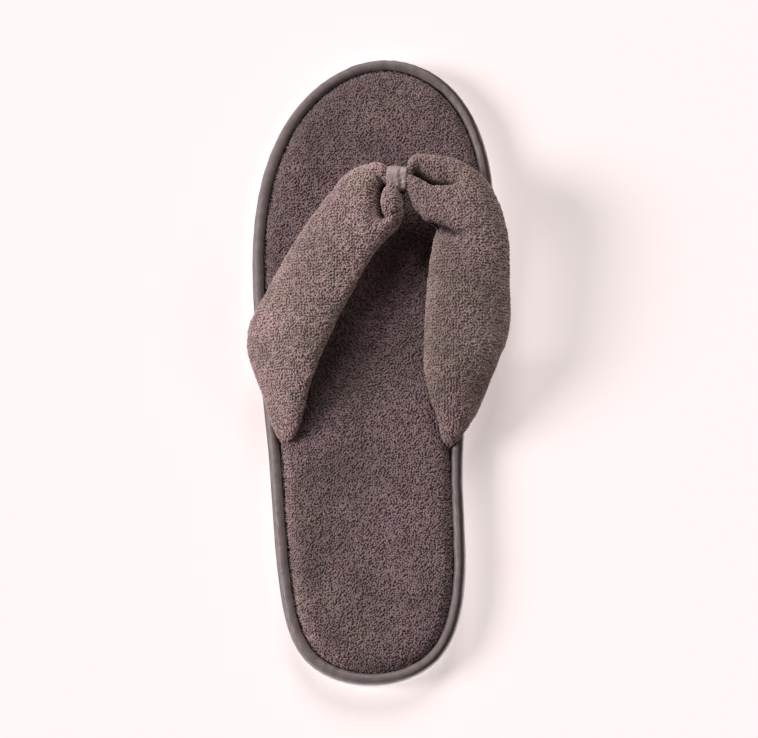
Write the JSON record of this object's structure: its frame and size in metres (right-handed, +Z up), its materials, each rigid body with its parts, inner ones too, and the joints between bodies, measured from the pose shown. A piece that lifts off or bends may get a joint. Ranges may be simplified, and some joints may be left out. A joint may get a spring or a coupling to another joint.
{
  "type": "house slipper",
  "caption": "Left thong house slipper of loop fleece: flat foam sole, piped footbed and a padded strap gathered in a toe loop.",
  "frame": {"origin": "underside of the sole, at the middle of its length and width", "axes": "+Z up, +Y towards the toe, +X towards the big-toe side"},
  "size_m": [0.1159, 0.28, 0.0389],
  "materials": {
    "foam": "white closed-cell foam, fine matte skin",
    "fleece": "short taupe loop fleece",
    "satin": "grey satin binding, soft sheen"
  },
  "bodies": {
    "root": {"outsole": "foam", "footbed": "fleece", "piping": "satin", "strap": "fleece", "toe_post": "satin"}
  },
  "joints": []
}
